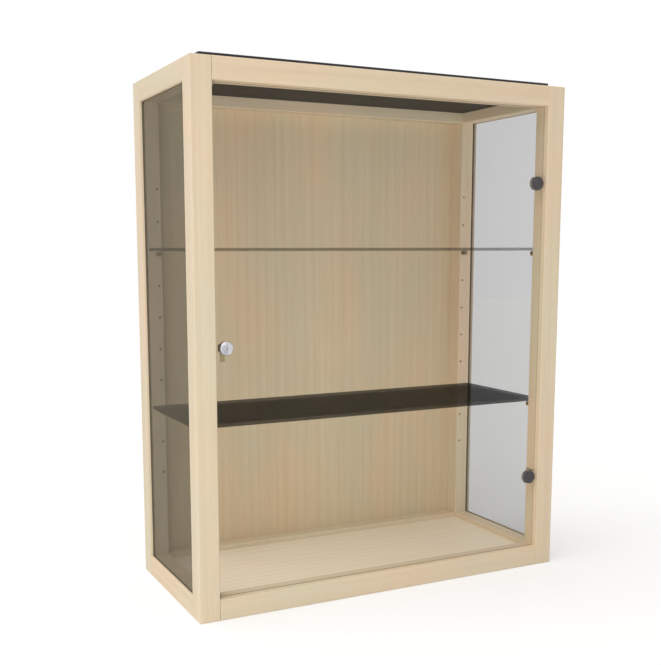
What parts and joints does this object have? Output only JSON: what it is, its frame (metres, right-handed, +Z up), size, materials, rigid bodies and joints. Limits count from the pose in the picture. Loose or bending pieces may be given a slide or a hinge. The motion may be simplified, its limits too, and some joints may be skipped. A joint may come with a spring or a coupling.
{
  "type": "hanging display cabinet",
  "caption": "Wall-hung display cabinet: a square timber frame with glass side panes, an inset glass door on pivot hinges with a cylinder lock, and movable glass shelves.",
  "frame": {"origin": "middle of the frame's base, halfway between the front and the back of the frame", "axes": "+X to the right seen from the front, +Y from the door to the wall, +Z up"},
  "size_m": [0.8, 0.346, 1.009],
  "materials": {
    "maple_posts": "clear satin lacquer over maple",
    "maple_long_rails": "clear satin lacquer over maple",
    "maple_side_rails": "clear satin lacquer over maple",
    "maple_back": "clear satin lacquer over maple veneer",
    "maple_floor": "clear satin lacquer over maple veneer",
    "dowel_wood": "plain beech",
    "black_panel": "black satin laminate",
    "side_glass": "clear",
    "door_glass": "clear",
    "shelf_glass": "clear, ground edges",
    "clear_pads": "clear soft plastic",
    "support_steel": "nickel plated",
    "hinge_metal": "anthracite, satin",
    "hinge_steel": "bare steel",
    "screw_steel": "zinc plated",
    "lock_chrome": "polished",
    "lock_steel": "nickel plated",
    "black_rubber": "soft, matt"
  },
  "bodies": {
    "cabinet": {"post_front_left": "maple_posts", "post_front_right": "maple_posts", "post_rear_left": "maple_posts", "post_rear_right": "maple_posts", "rail_top_front": "maple_long_rails", "rail_top_rear": "maple_long_rails", "rail_bottom_front": "maple_long_rails", "rail_bottom_rear": "maple_long_rails", "rail_top_left": "maple_side_rails", "rail_top_right": "maple_side_rails", "rail_bottom_left": "maple_side_rails", "rail_bottom_right": "maple_side_rails", "frame_dowels": "dowel_wood", "back_panel": "maple_back", "back_panel_screws": "screw_steel", "floor_panel": "maple_floor", "ceiling_panel": "black_panel", "top_cover": "black_panel", "top_cover_screws": "screw_steel", "side_glass_left": "side_glass", "side_glass_right": "side_glass", "side_seal_left": "black_rubber", "side_seal_right": "black_rubber", "shelf_middle": "shelf_glass", "shelf_upper": "shelf_glass", "shelf_supports_middle": "support_steel", "shelf_supports_upper": "support_steel", "support_pads_middle": "clear_pads", "support_pads_upper": "clear_pads", "hinge_arm_lower": "hinge_metal", "hinge_arm_upper": "hinge_metal", "hinge_arm_screws": "screw_steel", "strike_plate": "lock_steel", "strike_screws": "screw_steel", "door_stops": "clear_pads", "hanger_plate_left": "lock_steel", "hanger_plate_right": "lock_steel", "hanger_screws": "screw_steel"},
    "door": {"door_glass": "door_glass", "hinge_cap_lower": "hinge_metal", "hinge_cap_upper": "hinge_metal", "hinge_body_lower": "hinge_metal", "hinge_body_upper": "hinge_metal", "hinge_clamp_lower": "hinge_metal", "hinge_clamp_upper": "hinge_metal", "hinge_gaskets": "black_rubber", "hinge_pins": "hinge_steel", "hinge_clamp_screws": "screw_steel", "lock_housing": "lock_chrome", "lock_gasket": "black_rubber", "lock_washer": "lock_steel", "lock_nut": "lock_steel"},
    "lock": {"lock_plug": "lock_chrome", "lock_cam": "lock_steel", "lock_cam_screw": "lock_steel"}
  },
  "joints": [
    {"name": "door_hinge", "type": "hinge", "parent": "cabinet", "child": "door", "pos_m": [0.353, -0.1615, 0.5], "axis": [0, 0, 1], "range_deg": [0, 95]},
    {"name": "lock_turn", "type": "hinge", "parent": "door", "child": "lock", "pos_m": [-0.34, -0.16, 0.5], "axis": [0, 1, 0], "range_deg": [0, 90]}
  ]
}
